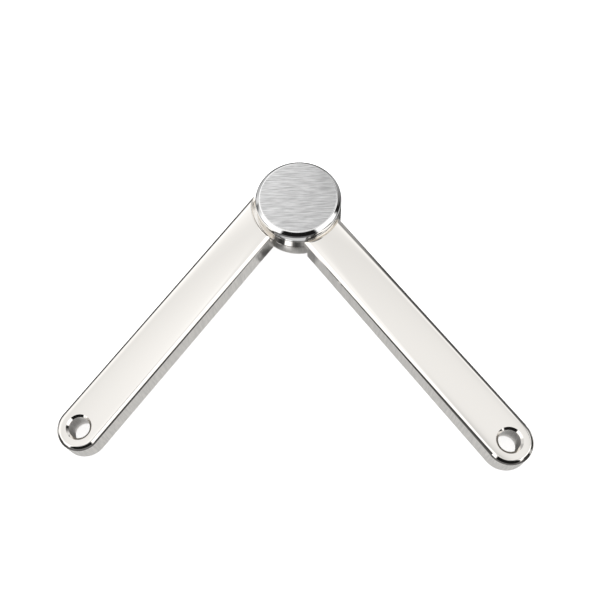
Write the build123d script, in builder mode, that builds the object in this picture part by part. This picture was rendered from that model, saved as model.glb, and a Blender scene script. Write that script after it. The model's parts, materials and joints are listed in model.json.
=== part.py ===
from build123d import *
import math
import os

os.makedirs("parts", exist_ok=True)

# Lid stay: two flat arms half-lapped at a round friction hub.
# Millimetres, +Z up. The origin is on the hub axis, on the plane of the undersides.

# ---- driving dimensions -------------------------------------------------------------

# arms
arm_length = 85.0            # hub axis to the centre of the end hole, along the arm
arm_width = 12.0
arm_thickness = 8.0
arm_edge_chamfer = 0.9       # polished chamfer round the top face
arm_foot_chamfer = 0.25      # broken edge round the underside
end_hole_diameter = 5.5
end_hole_chamfer = 0.6
arm_angle = 75.0             # angle between the arms as modelled
smallest_angle = 30.0        # arms folded together, where the stop pin meets its slot
largest_angle = 180.0        # arms in line

# hub
hub_radius = 12.0
lower_head_height = 4.3      # the lower arm's half of the lap
head_gap = 0.3               # open joint line between the two heads
swing_clearance = 1.0        # from the heads to the concave shoulder of the other arm
shoulder_chamfer = 0.35      # along the top of the lower arm's concave shoulder
collar_groove = 0.6          # V-groove in the upper arm's top face round the cap

# cover cap
cap_bevel = 1.1
cap_edge_round = 0.6         # between the brushed disc and the bevel
cap_plate = 0.9
spigot_wall = 0.8
spigot_depth = 0.8
spigot_slip = 0.02

# upper head
head_web = 1.2               # floor of the pocket that holds the friction pack
pocket_wall = 3.4            # from the head's rim in to the pocket
key_slot_depth = 0.75
key_slot_width = 2.4
key_slot_count = 3
key_clearance = 0.06

# pivot bolt
bolt_head_radius = 5.0
bolt_head_height = 2.0
bolt_head_edge = 0.25
bolt_seat_radius = 3.7       # shouldered part that sits in the lower head
bolt_seat_flat = 3.1         # axis to each flat of the shoulder
bolt_radius = 3.0
bolt_flat = 2.4              # axis to each flat along the friction pack
spanner_hole_radius = 0.6
spanner_hole_depth = 1.2
spanner_hole_offset = 3.2
seat_clearance = 0.03
running_clearance = 0.03
bush_wall = 1.0

# friction pack, from the pocket floor upwards
lining_thickness = 0.3
lining_count = 3
disc_thickness = 0.25
disc_rim_clearance = 0.4
plate_thickness = 0.5
plate_rim_clearance = 1.2    # from the plate's edge out to the pocket's wall
spring_thickness = 0.5
spring_height = 0.8
spring_inset = 0.9           # from the plate's edge in to the spring's
spring_bore_clearance = 0.15
spring_count = 2
nut_height = 1.1
nut_across_flats = 10.0
nut_corner_chamfer = 0.25
lining_bore_clearance = 0.4
cap_headroom = 0.2           # from the nut to the inside of the cap

# washer between the heads
washer_inset = 0.55          # from the stop slot in to the washer's edge
washer_recess = 0.2
washer_bore_clearance = 0.4

# stop pin, in the upper head, and its slot in the lower head
stop_pin_radius = 0.75
stop_pin_inset = 1.6         # from the head's rim in to the pin's axis
stop_pin_seat = 1.8          # length held in the upper head
stop_pin_reach = 1.1         # length that stands down into the slot
stop_slot_clearance = 0.3
stop_pin_angle = 60.0        # where the pin stands as modelled, from +X

# ---- sizes and heights that follow ---------------------------------------------------

lower_arm_angle = -90.0 - arm_angle / 2
upper_arm_angle = -90.0 + arm_angle / 2
fold_turn = arm_angle - smallest_angle
open_turn = largest_angle - arm_angle

lower_arm_plane = Plane.XY.rotated((0, 0, lower_arm_angle))
upper_arm_plane = Plane.XY.rotated((0, 0, upper_arm_angle))

# The lower arm's inner side passes through the hub axis and its outer side is set off by
# its own width. The upper arm is centred on the axis.
lower_arm_offset = -arm_width / 2
upper_arm_offset = 0.0

shoulder_radius = hub_radius + swing_clearance
end_hole_radius = end_hole_diameter / 2

upper_head_floor = lower_head_height + head_gap
pocket_floor = upper_head_floor + head_web
pocket_radius = hub_radius - pocket_wall
spigot_seat = arm_thickness - spigot_depth
key_slot_radius = pocket_radius + key_slot_depth
spigot_bore = key_slot_radius + key_clearance
spigot_radius = spigot_bore + spigot_wall
bush_radius = bolt_radius + running_clearance + bush_wall

plate_radius = pocket_radius - plate_rim_clearance
spring_radius = plate_radius - spring_inset

disc_count = lining_count - 1
pack_step = lining_thickness + disc_thickness
plate_floor = pocket_floor + lining_count * lining_thickness + disc_count * disc_thickness
spring_floor = plate_floor + plate_thickness
nut_floor = spring_floor + spring_count * spring_height
nut_top = nut_floor + nut_height
cap_ceiling = nut_top + cap_headroom
cap_top = cap_ceiling + cap_plate

stop_pin_circle = hub_radius - stop_pin_inset
slot_half_width = stop_pin_radius + stop_slot_clearance
washer_radius = stop_pin_circle - slot_half_width - washer_inset
slot_start = stop_pin_angle - fold_turn
slot_sweep = fold_turn + open_turn
slot_floor = upper_head_floor - stop_pin_reach - stop_slot_clearance


def flatted_round(radius, flat):
    """A circle with two flats, drawn in the sketch that is open."""
    Circle(radius)
    Rectangle(2 * radius, 2 * flat, mode=Mode.INTERSECT)


# ---- lower arm -------------------------------------------------------------------------
# A straight bar with a round end, chamfered, and a round head of half its height. Above
# the head the bar is turned away to a concave shoulder that clears the upper head.

with BuildPart() as lower_arm:
    with BuildSketch(lower_arm_plane):
        with Locations((arm_length / 2, lower_arm_offset)):
            Rectangle(arm_length, arm_width)
        with Locations((arm_length, lower_arm_offset)):
            Circle(arm_width / 2)
    extrude(amount=arm_thickness)
    chamfer(lower_arm.faces().sort_by(Axis.Z)[-1].edges(), arm_edge_chamfer)
    with BuildSketch(Plane.XY):
        Circle(hub_radius)
    extrude(amount=lower_head_height)
    with BuildSketch(Plane.XY.offset(lower_head_height)):
        Circle(shoulder_radius)
    extrude(amount=arm_thickness - lower_head_height, mode=Mode.SUBTRACT)
    chamfer(lower_arm.faces().sort_by(Axis.Z)[0].edges(), arm_foot_chamfer)
    with BuildSketch(Plane.XZ):
        with BuildLine():
            Polyline(
                (shoulder_radius, arm_thickness),
                (shoulder_radius + shoulder_chamfer, arm_thickness),
                (shoulder_radius, arm_thickness - shoulder_chamfer),
                close=True,
            )
        make_face()
    revolve(axis=Axis.Z, mode=Mode.SUBTRACT)
    # end hole, chamfered at both faces
    with Locations(lower_arm_plane * Location((arm_length, lower_arm_offset, arm_thickness))):
        Hole(end_hole_radius)
    chamfer(
        lower_arm.edges().filter_by(
            lambda edge: edge.geom_type == GeomType.CIRCLE and abs(edge.radius - end_hole_radius) < 1e-4
        ),
        end_hole_chamfer,
    )
    # seat of the pivot bolt: round counterbore below, shoulder with two flats above
    with BuildSketch(Plane.XY):
        Circle(bolt_head_radius + seat_clearance)
    extrude(amount=bolt_head_height, mode=Mode.SUBTRACT)
    with BuildSketch(Plane.XY.offset(bolt_head_height)):
        flatted_round(bolt_seat_radius + seat_clearance, bolt_seat_flat + seat_clearance)
    extrude(amount=lower_head_height - bolt_head_height, mode=Mode.SUBTRACT)
    # recess that centres the washer
    with BuildSketch(Plane.XY.offset(lower_head_height - washer_recess)):
        Circle(washer_radius + seat_clearance)
    extrude(amount=washer_recess, mode=Mode.SUBTRACT)
    # curved slot for the stop pin
    with BuildSketch(Plane.XY.offset(slot_floor)):
        SlotArc(
            CenterArc((0, 0), stop_pin_circle, slot_start, slot_sweep, mode=Mode.PRIVATE),
            2 * slot_half_width,
        )
    extrude(amount=lower_head_height - slot_floor, mode=Mode.SUBTRACT)
lower_arm.part.label = "lower_arm"
export_step(lower_arm.part, "parts/lower_arm.step")


# ---- upper arm -------------------------------------------------------------------------
# The same bar centred on the hub, cut away below to clear the lower head. Its round head
# is a cup that holds the friction pack.

with BuildPart() as upper_arm:
    with BuildSketch(upper_arm_plane):
        with Locations((arm_length / 2, upper_arm_offset)):
            Rectangle(arm_length, arm_width)
        with Locations((arm_length, upper_arm_offset)):
            Circle(arm_width / 2)
    extrude(amount=arm_thickness)
    chamfer(upper_arm.faces().sort_by(Axis.Z)[-1].edges(), arm_edge_chamfer)
    with BuildSketch(Plane.XY):
        Circle(shoulder_radius)
    extrude(amount=upper_head_floor, mode=Mode.SUBTRACT)
    chamfer(upper_arm.faces().sort_by(Axis.Z)[0].edges(), arm_foot_chamfer)
    with BuildSketch(Plane.XY.offset(upper_head_floor)):
        Circle(hub_radius)
    extrude(amount=arm_thickness - upper_head_floor)
    # V-groove that sets the cap off from the arm's top face
    with BuildSketch(Plane.XZ):
        with BuildLine():
            Polyline(
                (hub_radius, arm_thickness),
                (hub_radius + collar_groove, arm_thickness),
                (hub_radius, arm_thickness - collar_groove),
                close=True,
            )
        make_face()
    revolve(axis=Axis.Z, mode=Mode.SUBTRACT)
    # end hole, chamfered at both faces
    with Locations(upper_arm_plane * Location((arm_length, upper_arm_offset, arm_thickness))):
        Hole(end_hole_radius)
    chamfer(
        upper_arm.edges().filter_by(
            lambda edge: edge.geom_type == GeomType.CIRCLE and abs(edge.radius - end_hole_radius) < 1e-4
        ),
        end_hole_chamfer,
    )
    # pocket with key slots, seat for the cap's spigot, hole for the bush
    with BuildSketch(Plane.XY.offset(pocket_floor)):
        Circle(pocket_radius)
        with PolarLocations(key_slot_radius - key_slot_width / 2, key_slot_count):
            Rectangle(key_slot_width, key_slot_width)
        Circle(key_slot_radius, mode=Mode.INTERSECT)
    extrude(amount=arm_thickness - pocket_floor, mode=Mode.SUBTRACT)
    with BuildSketch(Plane.XY.offset(spigot_seat)):
        Circle(spigot_radius + spigot_slip)
    extrude(amount=spigot_depth, mode=Mode.SUBTRACT)
    with BuildSketch(Plane.XY.offset(upper_head_floor)):
        Circle(bush_radius)
    extrude(amount=head_web, mode=Mode.SUBTRACT)
    # blind hole that holds the stop pin
    with BuildSketch(Plane.XY.offset(upper_head_floor)):
        with PolarLocations(stop_pin_circle, 1, start_angle=stop_pin_angle):
            Circle(stop_pin_radius)
    extrude(amount=stop_pin_seat, mode=Mode.SUBTRACT)
upper_arm.part.label = "upper_arm"
export_step(upper_arm.part, "parts/upper_arm.step")


# ---- cover cap -------------------------------------------------------------------------
# A turned cap: flat disc, bevel, short straight wall, and a spigot that enters the pocket.

with BuildPart() as cover_cap:
    with BuildSketch(Plane.XZ):
        with BuildLine():
            Polyline(
                (0, cap_ceiling),
                (spigot_bore, cap_ceiling),
                (spigot_bore, spigot_seat),
                (spigot_radius, spigot_seat),
                (spigot_radius, arm_thickness),
                (hub_radius, arm_thickness),
                (hub_radius, cap_top - cap_bevel),
                (hub_radius - cap_bevel, cap_top),
                (0, cap_top),
                close=True,
            )
        make_face()
    revolve(axis=Axis.Z)
    fillet(cover_cap.faces().sort_by(Axis.Z)[-1].edges(), cap_edge_round)
cover_cap.part.label = "cover_cap"
export_step(cover_cap.part, "parts/cover_cap.step")


# ---- pivot bolt ------------------------------------------------------------------------
# Flush head with two spanner holes, a shoulder with flats held by the lower head, a round
# journal for the bush, and flats up through the friction pack.

with BuildPart() as pivot_bolt:
    with BuildSketch(Plane.XY):
        Circle(bolt_head_radius)
    extrude(amount=bolt_head_height)
    chamfer(pivot_bolt.faces().sort_by(Axis.Z)[0].edges(), bolt_head_edge)
    with BuildSketch(Plane.XY.offset(bolt_head_height)):
        flatted_round(bolt_seat_radius, bolt_seat_flat)
    extrude(amount=lower_head_height - bolt_head_height)
    with BuildSketch(Plane.XY.offset(lower_head_height)):
        Circle(bolt_radius)
    extrude(amount=pocket_floor - lower_head_height)
    with BuildSketch(Plane.XY.offset(pocket_floor)):
        flatted_round(bolt_radius, bolt_flat)
    extrude(amount=nut_top - pocket_floor)
    with BuildSketch(Plane.XY):
        with PolarLocations(spanner_hole_offset, 2):
            Circle(spanner_hole_radius)
    extrude(amount=spanner_hole_depth, mode=Mode.SUBTRACT)
pivot_bolt.part.label = "pivot_bolt"
export_step(pivot_bolt.part, "parts/pivot_bolt.step")


# ---- bush in the upper head's web --------------------------------------------------------

with BuildPart() as pivot_bush:
    with BuildSketch(Plane.XY.offset(upper_head_floor)):
        Circle(bush_radius)
        Circle(bolt_radius + running_clearance, mode=Mode.SUBTRACT)
    extrude(amount=head_web)
pivot_bush.part.label = "pivot_bush"
export_step(pivot_bush.part, "parts/pivot_bush.step")


# ---- washer between the heads ------------------------------------------------------------

with BuildPart() as head_washer:
    with BuildSketch(Plane.XY.offset(lower_head_height - washer_recess)):
        Circle(washer_radius)
        Circle(bolt_seat_radius + washer_bore_clearance, mode=Mode.SUBTRACT)
    extrude(amount=washer_recess + head_gap)
head_washer.part.label = "head_washer"
export_step(head_washer.part, "parts/head_washer.step")


# ---- stop pin ----------------------------------------------------------------------------

with BuildPart() as stop_pin:
    with BuildSketch(Plane.XY.offset(upper_head_floor - stop_pin_reach)):
        with PolarLocations(stop_pin_circle, 1, start_angle=stop_pin_angle):
            Circle(stop_pin_radius)
    extrude(amount=stop_pin_reach + stop_pin_seat)
stop_pin.part.label = "stop_pin"
export_step(stop_pin.part, "parts/stop_pin.step")


# ---- friction linings --------------------------------------------------------------------
# Rings with tabs that sit in the pocket's key slots and turn with the upper arm.

for index in range(lining_count):
    with BuildPart() as lining:
        with BuildSketch(Plane.XY.offset(pocket_floor + index * pack_step)):
            Circle(pocket_radius - key_clearance)
            with PolarLocations(key_slot_radius - key_slot_width / 2, key_slot_count):
                Rectangle(key_slot_width, key_slot_width - 2 * key_clearance)
            Circle(key_slot_radius - key_clearance, mode=Mode.INTERSECT)
            Circle(bolt_radius + lining_bore_clearance, mode=Mode.SUBTRACT)
        extrude(amount=lining_thickness)
    lining.part.label = f"friction_lining_{index + 1}"
    export_step(lining.part, f"parts/friction_lining_{index + 1}.step")


# ---- friction discs ----------------------------------------------------------------------
# Steel discs keyed to the bolt's flats, one between each pair of linings.

for index in range(disc_count):
    disc_floor = pocket_floor + lining_thickness + index * pack_step
    with BuildPart() as disc:
        with BuildSketch(Plane.XY.offset(disc_floor)):
            Circle(pocket_radius - disc_rim_clearance)
        extrude(amount=disc_thickness)
        with BuildSketch(Plane.XY.offset(disc_floor)):
            flatted_round(bolt_radius + seat_clearance, bolt_flat + seat_clearance)
        extrude(amount=disc_thickness, mode=Mode.SUBTRACT)
    disc.part.label = f"friction_disc_{index + 1}"
    export_step(disc.part, f"parts/friction_disc_{index + 1}.step")


# ---- pressure plate ----------------------------------------------------------------------

with BuildPart() as pressure_plate:
    with BuildSketch(Plane.XY.offset(plate_floor)):
        Circle(plate_radius)
    extrude(amount=plate_thickness)
    with BuildSketch(Plane.XY.offset(plate_floor)):
        flatted_round(bolt_radius + seat_clearance, bolt_flat + seat_clearance)
    extrude(amount=plate_thickness, mode=Mode.SUBTRACT)
pressure_plate.part.label = "pressure_plate"
export_step(pressure_plate.part, "parts/pressure_plate.step")


# ---- disc springs ------------------------------------------------------------------------
# Shallow cones, stacked rim to rim and bore to bore by turns.

spring_bore = bolt_radius + spring_bore_clearance
cone_rise = spring_height - spring_thickness

for index in range(spring_count):
    low = spring_floor + index * spring_height
    rim_lift = cone_rise if index % 2 == 0 else 0.0
    bore_lift = cone_rise - rim_lift
    with BuildPart() as spring:
        with BuildSketch(Plane.XZ):
            with BuildLine():
                Polyline(
                    (spring_bore, low + bore_lift),
                    (spring_radius, low + rim_lift),
                    (spring_radius, low + rim_lift + spring_thickness),
                    (spring_bore, low + bore_lift + spring_thickness),
                    close=True,
                )
            make_face()
        revolve(axis=Axis.Z)
    spring.part.label = f"disc_spring_{index + 1}"
    export_step(spring.part, f"parts/disc_spring_{index + 1}.step")


# ---- lock nut ----------------------------------------------------------------------------

with BuildPart() as lock_nut:
    with BuildSketch(Plane.XY.offset(nut_floor)):
        RegularPolygon(nut_across_flats / 2, 6, major_radius=False)
    extrude(amount=nut_height)
    with BuildSketch(Plane.XZ):
        with BuildLine():
            corner = nut_across_flats / 2 / math.cos(math.pi / 6)
            Polyline(
                (corner - nut_corner_chamfer, nut_top),
                (corner + nut_corner_chamfer, nut_top),
                (corner + nut_corner_chamfer, nut_top - 2 * nut_corner_chamfer),
                close=True,
            )
        make_face()
    revolve(axis=Axis.Z, mode=Mode.SUBTRACT)
    with Locations((0, 0, nut_top)):
        Hole(bolt_radius + seat_clearance)
lock_nut.part.label = "lock_nut"
export_step(lock_nut.part, "parts/lock_nut.step")
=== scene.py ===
import json
import math
import bmesh
import bpy
from mathutils import Euler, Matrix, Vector

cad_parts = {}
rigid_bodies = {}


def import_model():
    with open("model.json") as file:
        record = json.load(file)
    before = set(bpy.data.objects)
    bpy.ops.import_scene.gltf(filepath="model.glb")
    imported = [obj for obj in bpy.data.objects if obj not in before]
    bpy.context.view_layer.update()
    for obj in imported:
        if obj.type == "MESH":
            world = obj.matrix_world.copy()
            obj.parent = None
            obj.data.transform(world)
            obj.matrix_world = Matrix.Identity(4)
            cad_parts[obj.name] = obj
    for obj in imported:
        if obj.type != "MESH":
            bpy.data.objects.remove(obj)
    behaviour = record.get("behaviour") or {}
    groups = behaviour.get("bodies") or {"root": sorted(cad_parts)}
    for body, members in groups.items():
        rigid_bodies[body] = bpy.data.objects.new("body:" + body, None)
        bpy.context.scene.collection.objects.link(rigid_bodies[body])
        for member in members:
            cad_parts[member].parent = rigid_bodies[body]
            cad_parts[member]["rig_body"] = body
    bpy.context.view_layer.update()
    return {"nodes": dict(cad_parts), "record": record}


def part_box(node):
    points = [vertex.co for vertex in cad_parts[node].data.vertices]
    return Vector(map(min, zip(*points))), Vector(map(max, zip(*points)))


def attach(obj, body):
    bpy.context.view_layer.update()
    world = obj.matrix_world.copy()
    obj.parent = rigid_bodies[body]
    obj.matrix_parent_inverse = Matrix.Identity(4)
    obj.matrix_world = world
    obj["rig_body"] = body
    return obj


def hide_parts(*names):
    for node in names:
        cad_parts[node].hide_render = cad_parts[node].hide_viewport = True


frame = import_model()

nodes = frame["nodes"]
mm = 0.001

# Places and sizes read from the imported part.
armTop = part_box("upper_arm")[1].z
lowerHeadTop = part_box("head_washer")[0].z + 0.2 * mm
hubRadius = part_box("cover_cap")[1].x
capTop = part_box("cover_cap")[1].z
bores = [mount for mount in frame["record"]["mounts"] if mount["kind"] == "bore"]
holes = [Vector(mount["pos_m"]) for mount in bores]
holeRadius = bores[0]["dims"]["r_mm"] * mm
hubAxis = Vector((0, 0, 0))


def smooth(x, low, high):
    t = min(1.0, max(0.0, (x - low) / (high - low)))
    return t * t * (3 - 2 * t)


def along(x, stops):
    if x <= stops[0][0]:
        return stops[0][1]
    for (xa, va), (xb, vb) in zip(stops[:-1], stops[1:]):
        if x <= xb:
            return va + (vb - va) * (x - xa) / (xb - xa)
    return stops[-1][1]


# The studio by direction in degrees: 0 behind the object, 90 to its right. Ring, raft and edge stops are the heights
# in degrees where one zone gives way to the next, fan and card stops are shares, and the rest is brightness.
underStops = [(-180, 0.16), (-150, 0.16), (-128, 0.05), (-95, 0.05), (-90, 0.5), (-84, 0.72), (-78, 0.16),
              (-71, 0.16), (-66, 0.75), (-60, 0.75), (-52, 0.5), (-25, 0.5), (0, 0.36), (18, 0.27),
              (35, 0.39), (45, 0.3), (56, 0.22), (66, 0.12), (71, 0.01), (97, 0.02), (101, 0.5), (107, 0.5),
              (110, 0.03), (128, 0.05), (150, 0.16), (180, 0.16)]
horizonStops = [(-180, 0.01), (-144, 0.01), (-139, 1.3), (-95, 1.25), (-84, 0.75), (-64, 0.75), (-54, 0.5),
                (-40, 0.45), (0, 0.8), (40, 0.8), (56, 0.3), (70, 0.12), (76, 0.01), (86, 0.02), (92, 1.1),
                (100, 1.3), (139, 1.3), (144, 0.01), (180, 0.01)]
wallStops = [(-180, 0.01), (-146, 0.01), (-140, 1.3), (-80, 1.25), (-50, 1.1), (50, 1.1), (80, 1.25),
             (140, 1.3), (146, 0.01), (180, 0.01)]
highStops = [(-180, 0.5), (-142, 0.5), (-134, 1.2), (-80, 1.2), (-50, 1.05), (48, 1.05), (56, 0.03),
             (78, 0.03), (86, 1.2), (134, 1.2), (142, 0.5), (180, 0.5)]
ceilingStops = [(-180, 0.86), (-8, 0.86), (0, 0.83), (180, 0.83)]
ceilingGains = [(-180, 0.1), (-55, 0.1), (-26, 0.17), (-8, 0.22), (0, 0.1), (180, 0.1)]
deepStops = [(-180, 0.72), (-70, 0.72), (-64, 0.08), (48, 0.08), (62, 0.72), (180, 0.72)]
ringStops = [(-180, -27), (-106, -27), (-98, -15.5), (-70, -15.5), (-66, -8), (-54, -8), (-50, -15.5),
             (-36, -15.5), (-30, -19), (30, -19), (36, -14), (107, -14), (110, -27), (180, -27)]
raftStops = [(-180, 69), (-136, 69), (-128, 60.5), (130, 60.5), (136, 69), (180, 69)]
edgeStops = [(-180, 5), (-132, 5), (-126, 0), (-117, 0), (-111, 8), (-104, 8), (-96, 5), (107, 5), (110, 12),
             (126, 12), (132, 5), (180, 5)]
bandStops = [(-180, 0.11), (-106, 0.11), (-98, 0.55), (-72, 0.55), (-66, 0.04), (-34, 0.04), (-28, 0.07),
             (28, 0.07), (58, 0.11), (66, 0.55), (107, 0.55), (110, 0.11), (180, 0.11)]
fanStops = [(-180, 1), (-60, 1), (-30, 1.2), (-18, 1.2), (-6, 1.0), (0, 0.8), (8, 0.4), (16, 0.25), (48, 0.25),
            (60, 1), (180, 1)]
zenithStops = [(-180, 1.15), (-60, 1.15), (-9, 1.0), (20, 0.75), (60, 0.65), (180, 0.65)]
cardStops = [(-180, 0), (113, 0), (119, 1), (158, 1), (166, 0), (180, 0)]
cardLevel = 0.03
# Heights in degrees over which each zone fades into the next.
fades = {"band": (-55, -47), "walls": (24, 30), "high": (46, 53), "ceilingGain": (60, 73), "zenith": (74, 84),
         "cardFrom": (57.5, 59.5), "cardTo": (65, 67), "fanFrom": (30, 36), "fanTo": (54, 57),
         "ringWidth": 4, "edgeHalf": 2, "raftHalf": 2.5}


def glow(direction, height):
    under = along(direction, underStops)
    horizon = along(direction, horizonStops)
    walls = along(direction, wallStops)
    high = along(direction, highStops)
    ceiling = along(direction, ceilingStops) + along(direction, ceilingGains) * smooth(height, *fades["ceilingGain"])
    raft = along(direction, raftStops)
    ring = along(direction, ringStops)
    level = along(direction, deepStops)
    level += (along(direction, bandStops) - level) * smooth(height, *fades["band"])
    level += (under - level) * smooth(height, ring - fades["ringWidth"], ring)
    edge = along(direction, edgeStops)
    level += (horizon - level) * smooth(height, edge - fades["edgeHalf"], edge + fades["edgeHalf"])
    level += (walls - level) * smooth(height, *fades["walls"])
    level += (high - level) * smooth(height, *fades["high"])
    level += (ceiling - level) * smooth(height, raft - fades["raftHalf"], raft + fades["raftHalf"])
    card = along(direction, cardStops) * smooth(height, *fades["cardFrom"]) * (1 - smooth(height, *fades["cardTo"]))
    level += (cardLevel - level) * card
    fan = smooth(height, *fades["fanFrom"]) * (1 - smooth(height, *fades["fanTo"]))
    level *= 1 + (along(direction, fanStops) - 1) * fan
    level += (along(direction, zenithStops) - level) * smooth(height, *fades["zenith"])
    return level


shellLook = {"ringCount": 240, "rowCount": 120, "radius": 3.0}


def shellPoint(direction, height):
    a, h = math.radians(direction), math.radians(height)
    return Vector((math.sin(a) * math.cos(h), math.cos(a) * math.cos(h), math.sin(h))) * shellLook["radius"]


def addShell():
    ringCount, rowCount = shellLook["ringCount"], shellLook["rowCount"]
    bm = bmesh.new()
    glowLayer = bm.loops.layers.float_color.new("glow")
    rows = []
    for row in range(rowCount + 1):
        height = -90 + 180 * row / rowCount
        ring = []
        for step in range(ringCount):
            direction = -180 + 360 * step / ringCount
            vert = bm.verts.new(shellPoint(direction, height))
            ring.append((vert, glow(direction, height)))
        rows.append(ring)
    for low, high in zip(rows[:-1], rows[1:]):
        for step in range(ringCount):
            after = (step + 1) % ringCount
            corners = [low[step], low[after], high[after], high[step]]
            face = bm.faces.new([c[0] for c in corners])
            for loop, corner in zip(face.loops, corners):
                loop[glowLayer] = (corner[1], corner[1], corner[1], 1.0)
    mesh = bpy.data.meshes.new("studioShell")
    bm.to_mesh(mesh)
    bm.free()
    shell = bpy.data.objects.new("studioShell", mesh)
    bpy.context.scene.collection.objects.link(shell)
    material = bpy.data.materials.new("studioGlow")
    material.use_nodes = True
    tree = material.node_tree
    tree.nodes.clear()
    out = tree.nodes.new("ShaderNodeOutputMaterial")
    emit = tree.nodes.new("ShaderNodeEmission")
    attribute = tree.nodes.new("ShaderNodeAttribute")
    attribute.attribute_name = "glow"
    tree.links.new(attribute.outputs["Color"], emit.inputs["Color"])
    tree.links.new(emit.outputs[0], out.inputs["Surface"])
    material.cycles.emission_sampling = "NONE"
    mesh.materials.append(material)
    shell.visible_camera = False


floorLook = {"radius": 2.6, "sides": 96, "drop": 0.05 * mm, "paint": (0.95, 0.95, 0.95, 1), "lift": 0.7}


def addFloor():
    bm = bmesh.new()
    bmesh.ops.create_circle(bm, cap_ends=True, segments=floorLook["sides"], radius=floorLook["radius"])
    mesh = bpy.data.meshes.new("studioFloor")
    bm.to_mesh(mesh)
    bm.free()
    floor = bpy.data.objects.new("studioFloor", mesh)
    floor.location.z = -floorLook["drop"]
    bpy.context.scene.collection.objects.link(floor)
    material = bpy.data.materials.new("paleFloor")
    material.use_nodes = True
    tree = material.node_tree
    tree.nodes.clear()
    out = tree.nodes.new("ShaderNodeOutputMaterial")
    paint = tree.nodes.new("ShaderNodeBsdfDiffuse")
    paint.inputs["Color"].default_value = floorLook["paint"]
    path = tree.nodes.new("ShaderNodeLightPath")
    seen = tree.nodes.new("ShaderNodeMath")
    seen.operation = "MAXIMUM"
    seenAll = tree.nodes.new("ShaderNodeMath")
    seenAll.operation = "MAXIMUM"
    lift = tree.nodes.new("ShaderNodeMath")
    lift.operation = "MULTIPLY"
    lift.inputs[1].default_value = floorLook["lift"]
    emit = tree.nodes.new("ShaderNodeEmission")
    both = tree.nodes.new("ShaderNodeAddShader")
    tree.links.new(path.outputs["Is Camera Ray"], seen.inputs[0])
    tree.links.new(path.outputs["Is Glossy Ray"], seen.inputs[1])
    tree.links.new(seen.outputs[0], seenAll.inputs[0])
    tree.links.new(path.outputs["Is Transmission Ray"], seenAll.inputs[1])
    tree.links.new(seenAll.outputs[0], lift.inputs[0])
    tree.links.new(lift.outputs[0], emit.inputs["Strength"])
    tree.links.new(paint.outputs[0], both.inputs[0])
    tree.links.new(emit.outputs[0], both.inputs[1])
    tree.links.new(both.outputs[0], out.inputs["Surface"])
    mesh.materials.append(material)
    floor.visible_glossy = False


def addGlowPatch(name, bm, place):
    # A small glowing patch just over the floor that only shows in polished faces.
    mesh = bpy.data.meshes.new(name)
    bm.to_mesh(mesh)
    bm.free()
    patch = bpy.data.objects.new(name, mesh)
    patch.location = place
    bpy.context.scene.collection.objects.link(patch)
    mesh.materials.append(bpy.data.materials["studioGlow"])
    patch.visible_camera = False
    patch.visible_diffuse = False
    patch.visible_shadow = False
    patch.visible_transmission = False


# A painted reflection of the floor close in front of the heads, with painted shade and a painted highlight:
# brightness by angle round the hub in degrees, in three belts.
nearStops = [(-128, 0.12), (-124, 0.05), (-120, 0.03), (-114.5, 0.06), (-112.5, 1.4), (-104, 1.3), (-100, 0.14),
             (-95, 0.05), (-89, 0.1), (-85, 0.26), (-76, 0.3)]
lowStops = [(-140, 0.1), (-125, 0.12), (-115, 0.3), (-105, 0.45), (-95, 0.42), (-85, 0.3), (-76, 0.3)]
farStops = [(-140, 0.6), (-131, 0.6), (-125, 0.18), (-119, 0.5), (-108, 0.65), (-76, 0.65)]


nearLook = {"reach": 12.2, "reachStep": 0.2, "reachCount": 30, "angle": -128, "angleCount": 53,
            "middleBelt": (13.5, 14.1), "outerBelt": (15.9, 16.2)}
patchDrop = 0.03 * mm


def nearGlow(angle, reach):
    level = along(angle, lowStops)
    level += (along(angle, nearStops) - level) * smooth(reach, *nearLook["middleBelt"])
    level += (along(angle, farStops) - level) * smooth(reach, *nearLook["outerBelt"])
    return level


def addPaintedFloorReflection():
    # A glowing sheet seen only in polished faces, painting the floor's shade and a highlight in front of the heads.
    bm = bmesh.new()
    glowLayer = bm.loops.layers.float_color.new("glow")
    reaches = [nearLook["reach"] + nearLook["reachStep"] * k for k in range(nearLook["reachCount"])]
    angles = [nearLook["angle"] + 1.0 * k for k in range(nearLook["angleCount"])]
    grid = [[bm.verts.new((r * mm * math.cos(math.radians(a)), r * mm * math.sin(math.radians(a)), -patchDrop))
             for a in angles] for r in reaches]
    for i in range(len(reaches) - 1):
        for j in range(len(angles) - 1):
            places = [(i, j), (i + 1, j), (i + 1, j + 1), (i, j + 1)]
            face = bm.faces.new([grid[p][q] for p, q in places])
            for loop, (p, q) in zip(face.loops, places):
                value = nearGlow(angles[q], reaches[p])
                loop[glowLayer] = (value, value, value, 1.0)
    addGlowPatch("paintedFloorReflection", bm, (0, 0, 0))


boreLook = {"reach": 2.0 * mm, "sides": 32, "glow": (0.2, 0.2, 0.2, 1.0)}


def addBoreShade(place):
    # The dim floor right under an end hole.
    bm = bmesh.new()
    glowLayer = bm.loops.layers.float_color.new("glow")
    bmesh.ops.create_circle(bm, cap_ends=True, segments=boreLook["sides"], radius=boreLook["reach"])
    for face in bm.faces:
        for loop in face.loops:
            loop[glowLayer] = boreLook["glow"]
    addGlowPatch("boreShade", bm, (place.x, place.y, -patchDrop))


addShell()
addFloor()
addPaintedFloorReflection()
for place in holes:
    addBoreShade(place)
world = bpy.data.worlds.new("plainWorld")
world.use_nodes = True
world.node_tree.nodes["Background"].inputs["Color"].default_value = (1, 1, 1, 1)
world.node_tree.nodes["Background"].inputs["Strength"].default_value = 1.0
bpy.context.scene.world = world
print("stage: studio")


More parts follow.
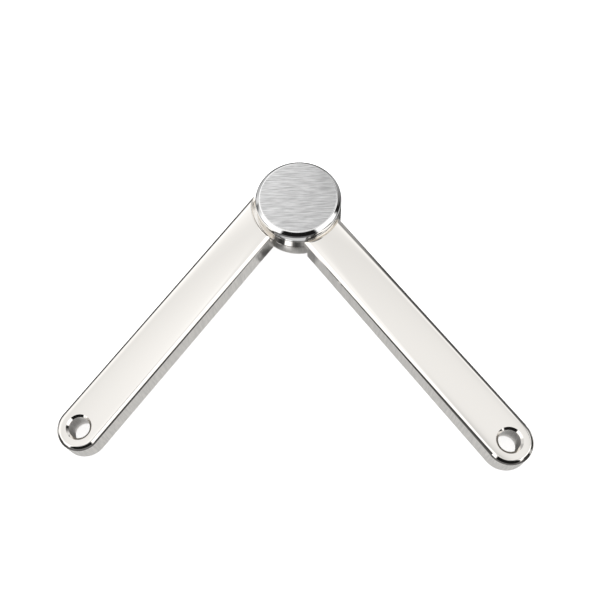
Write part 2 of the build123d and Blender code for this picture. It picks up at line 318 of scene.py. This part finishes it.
cameraLook = {"sensor": 36.0, "lens": 49.911, "shift": 0.06305, "place": (0.005914, -0.114700, 0.213607),
              "turn": (22.569, 4.040, 0.801)}
cameraData = bpy.data.cameras.new("studioCamera")
cameraData.sensor_width = cameraLook["sensor"]
cameraData.lens = cameraLook["lens"]
cameraData.shift_x = cameraLook["shift"]
camera = bpy.data.objects.new("studioCamera", cameraData)
camera.location = cameraLook["place"]
camera.rotation_euler = Euler([math.radians(a) for a in cameraLook["turn"]], "XYZ")
bpy.context.scene.collection.objects.link(camera)
bpy.context.scene.camera = camera
bpy.context.scene.view_settings.view_transform = "Standard"
print("stage: camera")


copyLook = {"weld": 0.002 * mm, "flatWithin": 0.5, "sharpFrom": 28}


def finishedCopy(nodeName, pieceName, softEdges):
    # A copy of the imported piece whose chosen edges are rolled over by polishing.
    source = nodes[nodeName]
    bm = bmesh.new()
    bm.from_mesh(source.data)
    bmesh.ops.remove_doubles(bm, verts=bm.verts, dist=copyLook["weld"])
    bmesh.ops.dissolve_limit(bm, angle_limit=math.radians(copyLook["flatWithin"]), verts=bm.verts, edges=bm.edges)
    for chosen, width, segments in softEdges:
        picked = [e for e in bm.edges if len(e.link_faces) == 2 and chosen(e)]
        bmesh.ops.bevel(bm, geom=picked, offset=width, offset_type="OFFSET", segments=segments, profile=0.5,
                        affect="EDGES", clamp_overlap=False)
        print("   ", nodeName, "softened", len(picked))
    for face in bm.faces:
        face.smooth = True
    for edge in bm.edges:
        if len(edge.link_faces) == 2:
            edge.smooth = edge.calc_face_angle(0.0) < math.radians(copyLook["sharpFrom"])
    mesh = bpy.data.meshes.new(pieceName)
    bm.to_mesh(mesh)
    bm.free()
    piece = bpy.data.objects.new(pieceName, mesh)
    bpy.context.scene.collection.objects.link(piece)
    even = piece.modifiers.new("evenShading", "WEIGHTED_NORMAL")
    even.keep_sharp = True
    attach(piece, source["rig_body"])
    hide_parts(nodeName)
    return piece


def heights(edge):
    return edge.verts[0].co.z, edge.verts[1].co.z


def fromAxis(vert, centre):
    return math.hypot(vert.co.x - centre.x, vert.co.y - centre.y)


def edgeAt(level, slack=0.01 * mm):
    return lambda e: all(abs(z - level) < slack for z in heights(e))


def awayFromHub(edge, reach):
    return all(fromAxis(v, hubAxis) > reach for v in edge.verts)


def awayFromHoles(edge, reach):
    return all(min(fromAxis(v, h) for h in holes) > reach for v in edge.verts)


chamferSize = 0.9 * mm
holeClear = holeRadius + 1.5 * mm


def isCorner(edge, degrees):
    return edge.calc_face_angle(0.0) > math.radians(degrees)


def chamferFoot(edge):
    return edgeAt(armTop - chamferSize)(edge) and isCorner(edge, 35) and \
        awayFromHub(edge, hubRadius + 0.5 * mm) and awayFromHoles(edge, holeClear)


def chamferCrest(edge):
    return edgeAt(armTop)(edge) and isCorner(edge, 35) and \
        awayFromHub(edge, hubRadius + 0.75 * mm) and awayFromHoles(edge, holeClear)


def onHeadRim(level):
    # Sharp round edges of the heads at a given height.
    return lambda e: edgeAt(level)(e) and isCorner(e, 60) and \
        all(abs(fromAxis(v, hubAxis) - hubRadius) < 0.05 * mm for v in e.verts)


def bevelFoot(edge):
    return edgeAt(capFoot)(edge) and all(fromAxis(v, hubAxis) > hubRadius - 0.05 * mm for v in edge.verts)


capFoot = capTop - 1.1 * mm
headFloor = lowerHeadTop + 0.3 * mm
# Each roll is the chosen edges, its width and its number of steps.
lowerRolls = [(chamferFoot, 0.54 * mm, 6), (chamferCrest, 0.20 * mm, 4), (onHeadRim(lowerHeadTop), 0.12 * mm, 3)]
upperRolls = [(chamferFoot, 0.42 * mm, 6), (chamferCrest, 0.18 * mm, 4), (onHeadRim(armTop), 0.18 * mm, 4),
              (onHeadRim(headFloor), 0.12 * mm, 3)]
capRolls = [(bevelFoot, 0.40 * mm, 5), (onHeadRim(armTop), 0.15 * mm, 3)]
lowerArm = finishedCopy("lower_arm", "lowerArmPolished", lowerRolls)
upperArm = finishedCopy("upper_arm", "upperArmPolished", upperRolls)
cap = finishedCopy("cover_cap", "coverCapPolished", capRolls)
print("stage: arms")


def put(tree, kind, inputs=None, **settings):
    made = tree.nodes.new(kind)
    for key, value in settings.items():
        setattr(made, key, value)
    for key, value in (inputs or {}).items():
        if isinstance(value, bpy.types.NodeSocket):
            tree.links.new(value, made.inputs[key])
        else:
            made.inputs[key].default_value = value
    return made


def calc(tree, operation, first, second=0.0, third=0.0):
    made = put(tree, "ShaderNodeMath", {0: first, 1: second, 2: third}, operation=operation)
    return made.outputs[0]


def rise(tree, value, low, high):
    made = put(tree, "ShaderNodeMapRange", {"Value": value, "From Min": low, "From Max": high},
               interpolation_type="SMOOTHSTEP")
    return made.outputs["Result"]


def blendNumber(tree, share, first, second):
    made = put(tree, "ShaderNodeMix", {0: share, 2: first, 3: second}, data_type="FLOAT")
    return made.outputs[0]


def blendColor(tree, share, first, second):
    made = put(tree, "ShaderNodeMix", {0: share}, data_type="RGBA")
    for place, value in ((6, first), (7, second)):
        if isinstance(value, bpy.types.NodeSocket):
            tree.links.new(value, made.inputs[place])
        else:
            made.inputs[place].default_value = (*value, 1)
    return made.outputs[2]


def noiseAlong(tree, place, stretch, detail=3.0, roughness=0.6):
    # Noise stretched by a scale for each axis, in cycles a metre.
    scaled = put(tree, "ShaderNodeVectorMath", {0: place, 1: stretch}, operation="MULTIPLY")
    made = put(tree, "ShaderNodeTexNoise", {"Vector": scaled.outputs[0], "Scale": 1.0, "Detail": detail,
                                            "Roughness": roughness})
    return made.outputs["Fac"]


def bump(tree, height, distance, strength=1.0, under=None):
    inputs = {"Height": height, "Distance": distance, "Strength": strength}
    if under is not None:
        inputs["Normal"] = under
    return put(tree, "ShaderNodeBump", inputs).outputs["Normal"]


def newMaterial(name, **fixed):
    material = bpy.data.materials.new(name)
    material.use_nodes = True
    shader = material.node_tree.nodes["Principled BSDF"]
    shader.inputs["Metallic"].default_value = 1.0
    for key, value in fixed.items():
        shader.inputs[key.replace("_", " ")].default_value = value
    return material, material.node_tree, shader


def feel(tree, shader, color, roughness, normal):
    tree.links.new(color, shader.inputs["Base Color"])
    tree.links.new(roughness, shader.inputs["Roughness"])
    tree.links.new(normal, shader.inputs["Normal"])


def placeOf(tree):
    return put(tree, "ShaderNodeTexCoord").outputs["Object"]


def heightOf(tree, place):
    return put(tree, "ShaderNodeSeparateXYZ", {0: place}).outputs[2]


def facing(tree):
    normal = put(tree, "ShaderNodeNewGeometry").outputs["True Normal"]
    return put(tree, "ShaderNodeSeparateXYZ", {0: normal}).outputs[2]


def distanceFrom(tree, place, centre):
    gap = put(tree, "ShaderNodeVectorMath", {0: place, 1: tuple(centre)}, operation="SUBTRACT")
    flat = put(tree, "ShaderNodeVectorMath", {0: gap.outputs[0], 1: (1, 1, 0)}, operation="MULTIPLY")
    return put(tree, "ShaderNodeVectorMath", {0: flat.outputs[0]}, operation="LENGTH").outputs["Value"]


armLook = {"nickel": (0.925, 0.898, 0.858), "wallDark": (0.72, 0.70, 0.67), "wallLight": (0.92, 0.893, 0.853),
           "crown": 0.030, "roll": 0.10, "flatHalf": 5.1 * mm, "headShine": 0.07, "recessShine": 0.12,
           "underside": 0.30, "lineDepth": 0.006 * mm, "scratchDepth": 0.00012 * mm,
           "recessReach": hubRadius + 1.03 * mm, "recessFloor": 4.28 * mm,
           "wallLines": (2600, 2600, 130), "boreLines": (5000, 5000, 300), "haze": (60, 900, 900),
           "scratches": (300, 9000, 300)}


def armMetal(name, hole, offset, isUpper):
    material, tree, shader = newMaterial(name)
    place = placeOf(tree)
    z = heightOf(tree, place)
    turn = math.atan2(hole.y, hole.x)
    reach = math.hypot(hole.x, hole.y)
    lean = math.asin(offset / reach)
    heading = turn - lean
    ahead = (math.cos(heading), math.sin(heading), 0)
    aside = (-math.sin(heading), math.cos(heading), 0)
    u = put(tree, "ShaderNodeVectorMath", {0: place, 1: ahead}, operation="DOT_PRODUCT").outputs["Value"]
    v = put(tree, "ShaderNodeVectorMath", {0: place, 1: aside}, operation="DOT_PRODUCT").outputs["Value"]
    v = calc(tree, "SUBTRACT", v, offset)
    up = facing(tree)
    steep = calc(tree, "SUBTRACT", 1.0, rise(tree, calc(tree, "ABSOLUTE", up), 0.07, 0.13))
    fromHole = distanceFrom(tree, place, hole)
    fromHub = distanceFrom(tree, place, hubAxis)
    inHub = calc(tree, "LESS_THAN", fromHub, hubRadius + 0.3 * mm)

    # The polished top is slightly crowned and falls away at its edges.
    length = math.sqrt(reach ** 2 - offset ** 2)
    beyond = calc(tree, "GREATER_THAN", u, length)
    across = blendNumber(tree, beyond, calc(tree, "ABSOLUTE", v), fromHole)
    half = armLook["flatHalf"]
    share = calc(tree, "DIVIDE", across, half)
    crown = calc(tree, "MULTIPLY", calc(tree, "POWER", share, 2.0), -armLook["crown"] * half / 2)
    roll = calc(tree, "MULTIPLY", calc(tree, "POWER", share, 9.0), -armLook["roll"] * half / 9)
    crown = calc(tree, "MULTIPLY", calc(tree, "ADD", crown, roll), calc(tree, "GREATER_THAN", up, 0.97))
    normal = bump(tree, crown, 1.0)

    # Grinding lines, upright on the walls and in the bore, and faint haze and scratches along the polish.
    flow = put(tree, "ShaderNodeCombineXYZ", {0: u, 1: v, 2: z}).outputs[0]
    lines = noiseAlong(tree, flow, armLook["wallLines"], 4.0, 0.7)
    haze = noiseAlong(tree, flow, armLook["haze"], 3.0, 0.5)
    scratch = noiseAlong(tree, flow, armLook["scratches"], 2.0, 0.5)
    bore = calc(tree, "MULTIPLY", steep, calc(tree, "LESS_THAN", fromHole, holeRadius + 0.35 * mm))
    boreLines = noiseAlong(tree, place, armLook["boreLines"], 3.0, 0.6)
    lines = blendNumber(tree, bore, lines, boreLines)
    depth = calc(tree, "MULTIPLY", lines, steep)
    normal = bump(tree, depth, armLook["lineDepth"], 1.0, normal)
    normal = bump(tree, scratch, armLook["scratchDepth"], 1.0, normal)

    # One nickel, satin where it is ground and bright where it is polished; the lighter and darker lines on the
    # ground walls are partly grinding grain and partly painted glints.
    grainAndGlintTone = blendColor(tree, rise(tree, lines, 0.3, 0.7), armLook["wallDark"], armLook["wallLight"])
    color = blendColor(tree, steep, armLook["nickel"], grainAndGlintTone)
    shine = calc(tree, "MULTIPLY_ADD", haze, 0.02, 0.035)
    satin = calc(tree, "MULTIPLY_ADD", lines, 0.12, 0.28)
    roughness = blendNumber(tree, steep, shine, satin)
    if isUpper:
        wall = calc(tree, "MULTIPLY", steep, inHub)
        roughness = blendNumber(tree, wall, roughness, armLook["headShine"])
        color = blendColor(tree, wall, color, armLook["nickel"])
    else:
        deep = calc(tree, "MULTIPLY", calc(tree, "LESS_THAN", fromHub, armLook["recessReach"]),
                    calc(tree, "GREATER_THAN", z, armLook["recessFloor"]))
        roughness = blendNumber(tree, deep, roughness, armLook["recessShine"])
        color = blendColor(tree, deep, color, armLook["nickel"])
    under = rise(tree, calc(tree, "MULTIPLY", up, -1.0), 0.5, 0.9)
    roughness = blendNumber(tree, under, roughness, armLook["underside"])
    feel(tree, shader, color, roughness, normal)
    return material


capLook = {"dark": (0.55, 0.55, 0.55), "light": (1.0, 1.0, 1.0), "polish": (0.92, 0.92, 0.915), "brush": 0.42,
           "dome": 0.06, "lineDepth": 0.004 * mm, "fine": (190, 6200, 1), "broad": (210, 2600, 1),
           "turned": (400, 400, 9000)}


def capMetal():
    material, tree, shader = newMaterial("capNickel", Anisotropic=0.85)
    place = placeOf(tree)
    up = facing(tree)
    flat = calc(tree, "GREATER_THAN", up, 0.9995)
    across = put(tree, "ShaderNodeVectorTransform", {0: (0, 1, 0)}, vector_type="VECTOR",
                 convert_from="OBJECT", convert_to="WORLD").outputs[0]
    tree.links.new(across, shader.inputs["Tangent"])
    fine = noiseAlong(tree, place, capLook["fine"], 2.0, 0.6)
    broad = noiseAlong(tree, place, capLook["broad"], 2.0, 0.6)
    streaks = calc(tree, "MULTIPLY_ADD", fine, 0.5, calc(tree, "MULTIPLY", broad, 0.5))
    grainAndGlintTone = rise(tree, streaks, 0.36, 0.64)
    # The streak colour, from 0.55 up to full white, is partly the brushed grain and partly painted glints along the
    # brushing.
    brushedGrainAndGlints = blendColor(tree, grainAndGlintTone, capLook["dark"], capLook["light"])
    color = blendColor(tree, flat, capLook["polish"], brushedGrainAndGlints)
    fromHub = distanceFrom(tree, place, hubAxis)
    dome = calc(tree, "MULTIPLY", calc(tree, "POWER", fromHub, 2.0), -capLook["dome"] / (2 * hubRadius))
    dome = calc(tree, "MULTIPLY", dome, flat)
    normal = bump(tree, dome, 1.0)
    normal = bump(tree, calc(tree, "MULTIPLY", streaks, flat), capLook["lineDepth"], 1.0, normal)
    turned = noiseAlong(tree, place, capLook["turned"], 2.0, 0.5)
    shine = calc(tree, "MULTIPLY_ADD", turned, 0.03, 0.04)
    rough = calc(tree, "MULTIPLY_ADD", streaks, 0.15, capLook["brush"] - 0.07)
    feel(tree, shader, color, blendNumber(tree, flat, shine, rough), normal)
    return material


def turnedMetal(name, low, high, roughness, ringScale=4000.0):
    # Fine rings left by turning, with a little cloudiness.
    material, tree, shader = newMaterial(name)
    place = placeOf(tree)
    fromHub = distanceFrom(tree, place, hubAxis)
    rings = put(tree, "ShaderNodeCombineXYZ", {0: fromHub, 2: heightOf(tree, place)}).outputs[0]
    lines = noiseAlong(tree, rings, (ringScale, 1, ringScale), 3.0, 0.6)
    cloud = noiseAlong(tree, place, (500, 500, 500), 2.0, 0.5)
    color = blendColor(tree, calc(tree, "MULTIPLY_ADD", lines, 0.6, calc(tree, "MULTIPLY", cloud, 0.4)), low, high)
    rough = calc(tree, "MULTIPLY_ADD", cloud, 0.12, roughness - 0.06)
    feel(tree, shader, color, rough, bump(tree, lines, 0.004 * mm))
    return material


def plainStuff(name, low, high, roughness, grain, depth):
    # Matte, grainy stuff such as a pressed lining or moulded plastic.
    material, tree, shader = newMaterial(name, Metallic=0.0)
    place = placeOf(tree)
    specks = noiseAlong(tree, place, (grain, grain, grain), 4.0, 0.7)
    rough = calc(tree, "MULTIPLY_ADD", specks, 0.2, roughness - 0.1)
    feel(tree, shader, blendColor(tree, specks, low, high), rough, bump(tree, specks, depth))
    return material


def dress(piece, material):
    if not piece.data.materials:
        piece.data.materials.append(material)
    for place in piece.material_slots:
        place.link = "OBJECT"
        place.material = material


# The lower arm's centre line runs this far beside the hub's axis.
lowerOffset = -6.0 * mm
dress(lowerArm, armMetal("lowerArmNickel", holes[0], lowerOffset, False))
dress(upperArm, armMetal("upperArmNickel", holes[1], 0.0, True))
dress(cap, capMetal())
turnedSteel = turnedMetal("turnedSteel", (0.50, 0.50, 0.51), (0.66, 0.66, 0.67), 0.30)
springSteel = turnedMetal("springSteel", (0.30, 0.31, 0.33), (0.46, 0.47, 0.49), 0.36)
bronze = turnedMetal("bearingBronze", (0.62, 0.44, 0.24), (0.76, 0.57, 0.33), 0.34)
lining = plainStuff("frictionLining", (0.20, 0.18, 0.15), (0.38, 0.34, 0.29), 0.85, 6000, 0.03 * mm)
acetal = plainStuff("darkAcetal", (0.035, 0.035, 0.037), (0.06, 0.06, 0.062), 0.45, 3000, 0.008 * mm)
for name in ("pivot_bolt", "lock_nut", "pressure_plate", "stop_pin"):
    dress(nodes[name], turnedSteel)
for name in ("friction_disc_1", "friction_disc_2", "disc_spring_1", "disc_spring_2"):
    dress(nodes[name], springSteel)
for name in ("friction_lining_1", "friction_lining_2", "friction_lining_3"):
    dress(nodes[name], lining)
dress(nodes["pivot_bush"], bronze)
dress(nodes["head_washer"], acetal)
print("stage: looks")
